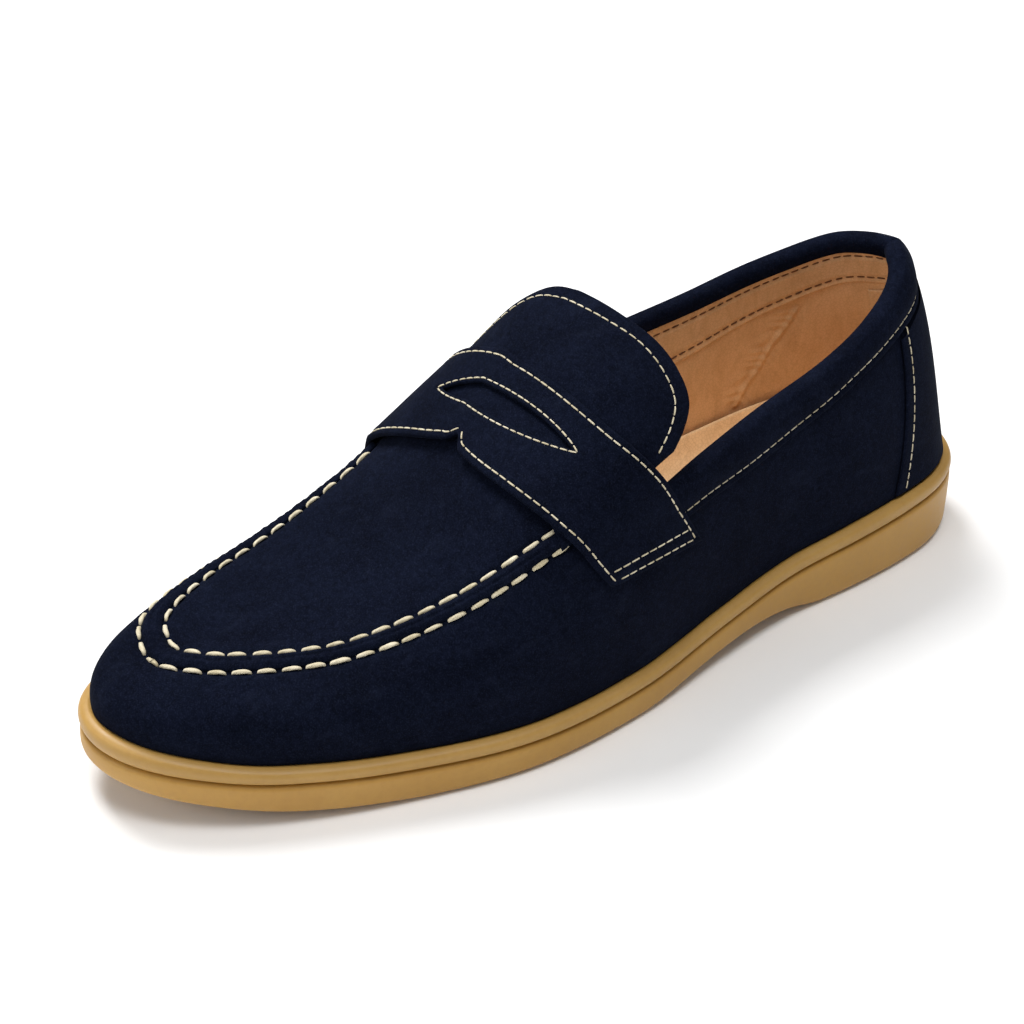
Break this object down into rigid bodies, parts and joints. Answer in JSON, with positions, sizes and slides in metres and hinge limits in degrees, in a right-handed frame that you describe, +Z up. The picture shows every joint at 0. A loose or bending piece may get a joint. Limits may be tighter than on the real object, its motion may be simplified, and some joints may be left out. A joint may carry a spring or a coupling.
{
  "type": "penny loafer",
  "caption": "Left penny loafer in navy suede: moccasin-toe apron, slotted saddle strap, padded topline, tan leather lining and a grooved gum rubber cup sole.",
  "frame": {"origin": "centre of the footprint box, on the floor", "axes": "+Y toward the heel, so the toe points along -Y; +X toward the outer side of the left foot; +Z up"},
  "size_m": [0.1042, 0.3, 0.1046],
  "materials": {
    "gum_rubber_dark": "matte moulded gum rubber",
    "gum_rubber": "satin moulded gum rubber",
    "foam": "open-cell foam",
    "shank_steel": "rolled spring steel",
    "fibre_board": "pressed fibre board",
    "sock_leather": "smooth pale tan leather",
    "suede": "brushed navy suede",
    "lining_leather": "soft tan lining leather",
    "cream_thread": "waxed cream thread",
    "tan_thread": "tan sewing thread"
  },
  "bodies": {
    "root": {"outsole": "gum_rubber_dark", "sole_rim": "gum_rubber", "forefoot_tread": "gum_rubber_dark", "heel_tread": "gum_rubber_dark", "sole_filler": "foam", "shank": "shank_steel", "insole_board": "fibre_board", "footbed_foam": "foam", "footbed": "sock_leather", "toe_puff": "fibre_board", "heel_counter": "fibre_board", "collar_foam": "foam", "upper_wrap": "suede", "apron_plug": "suede", "moc_seam": "suede", "tongue": "suede", "tongue_lining": "lining_leather", "saddle_strap": "suede", "collar_band": "suede", "collar_roll": "suede", "backstay": "suede", "vamp_lining": "lining_leather", "quarter_lining": "lining_leather", "collar_lining": "lining_leather", "heel_grip": "sock_leather", "apron_thread_inner": "cream_thread", "apron_thread_outer": "cream_thread", "strap_edge_thread": "cream_thread", "strap_end_thread": "cream_thread", "slot_thread": "cream_thread", "tongue_thread": "cream_thread", "collar_thread": "cream_thread", "backstay_thread": "cream_thread", "lining_thread_upper": "tan_thread", "lining_thread_lower": "tan_thread"}
  },
  "joints": []
}
